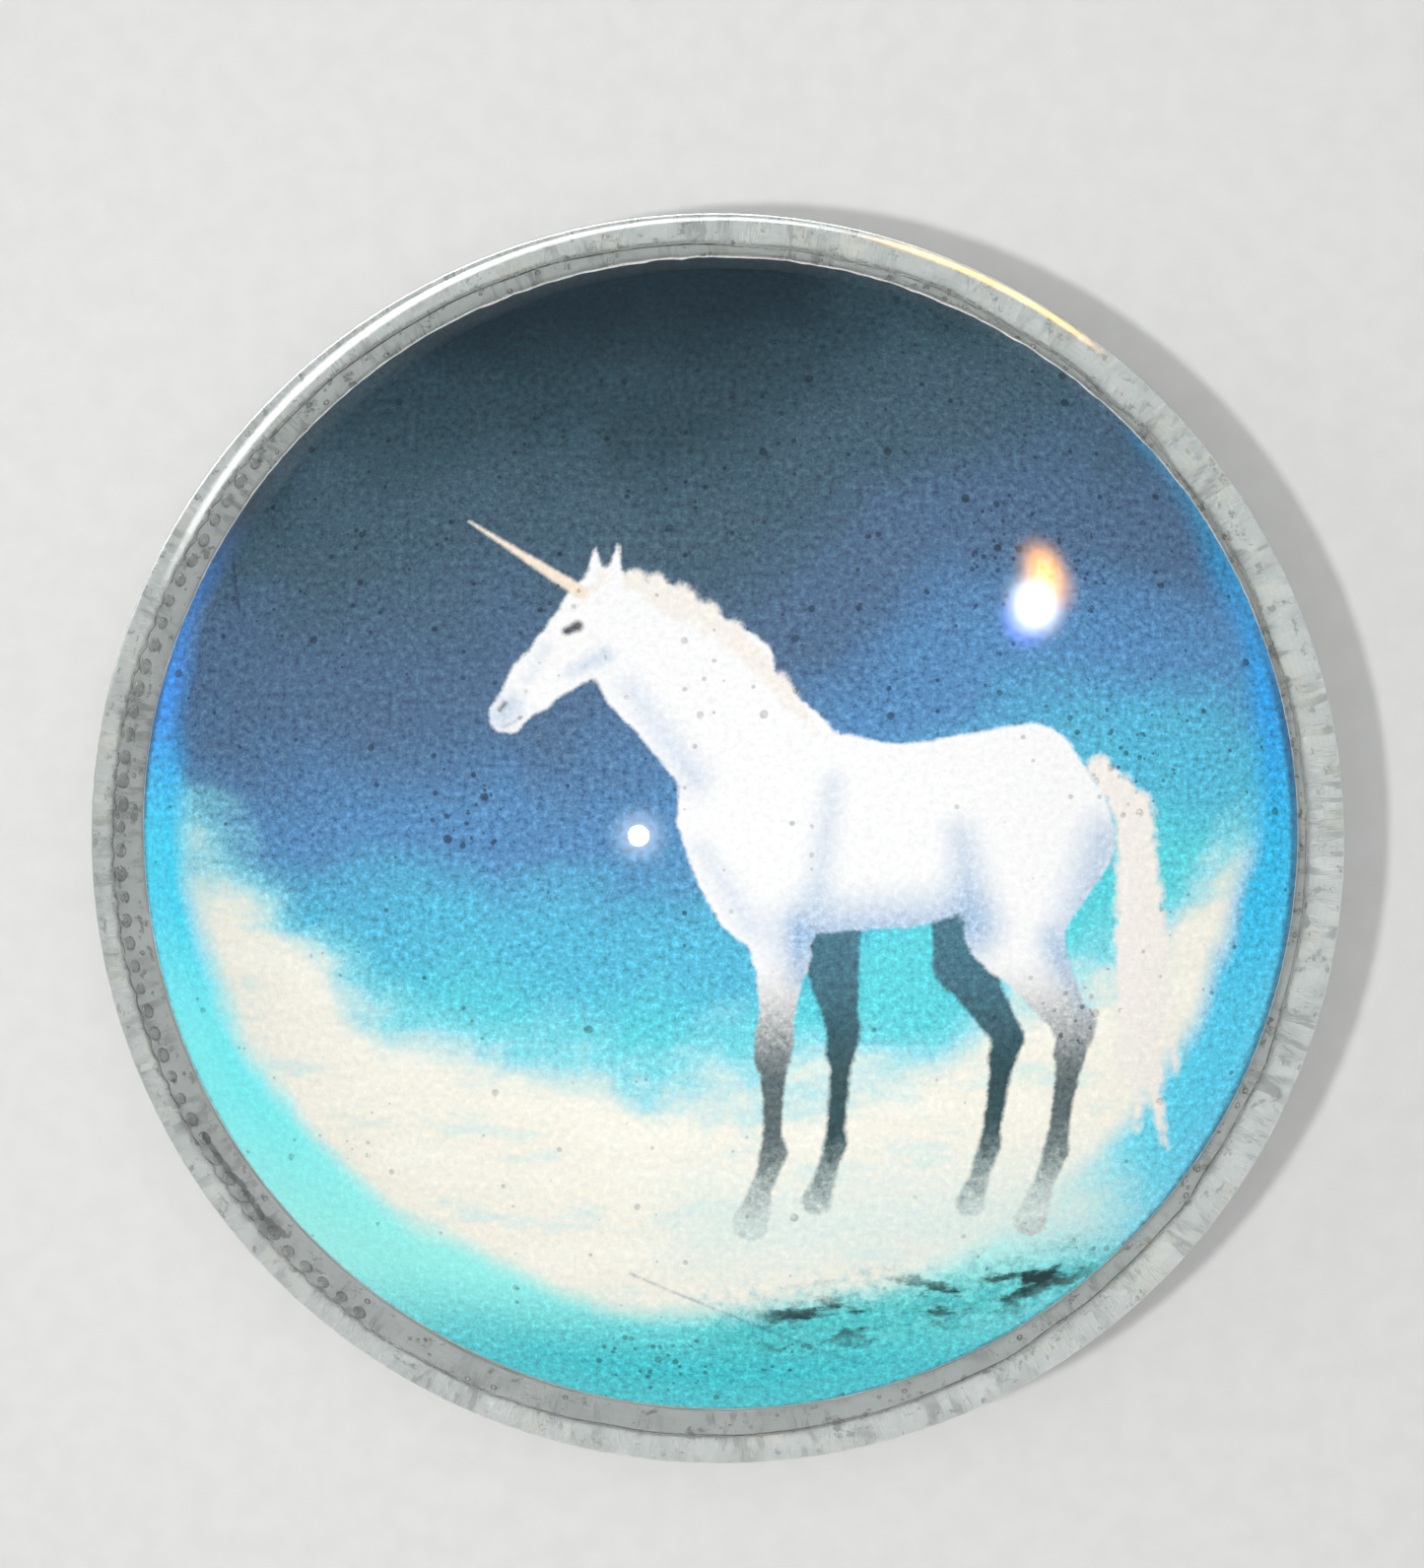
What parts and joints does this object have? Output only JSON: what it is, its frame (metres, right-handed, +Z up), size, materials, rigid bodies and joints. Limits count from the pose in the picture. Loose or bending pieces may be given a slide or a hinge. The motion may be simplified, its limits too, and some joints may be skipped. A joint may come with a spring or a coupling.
{
  "type": "dealer button",
  "caption": "Round dealer button: a clear domed acrylic lens glued over a printed picture disc, closed underneath by a frosted disc.",
  "frame": {"origin": "centre of the underside, on the table", "axes": "+Z up through the top of the dome, +Y towards the top of the picture"},
  "size_m": [0.05, 0.05, 0.02],
  "materials": {
    "lens_acrylic": "clear cast acrylic, polished dome and ground side wall",
    "clear_glue": "clear glue with small trapped bubbles",
    "printed_paper": "satin printed paper, dark sky above pale cloud and turquoise",
    "tape_film": "thin adhesive film",
    "frosted_acrylic": "clear acrylic with frosted faces"
  },
  "bodies": {
    "root": {"dome_lens": "lens_acrylic", "glue_bed": "clear_glue", "picture_disc": "printed_paper", "tape_film": "tape_film", "backing_disc": "frosted_acrylic"}
  },
  "joints": []
}
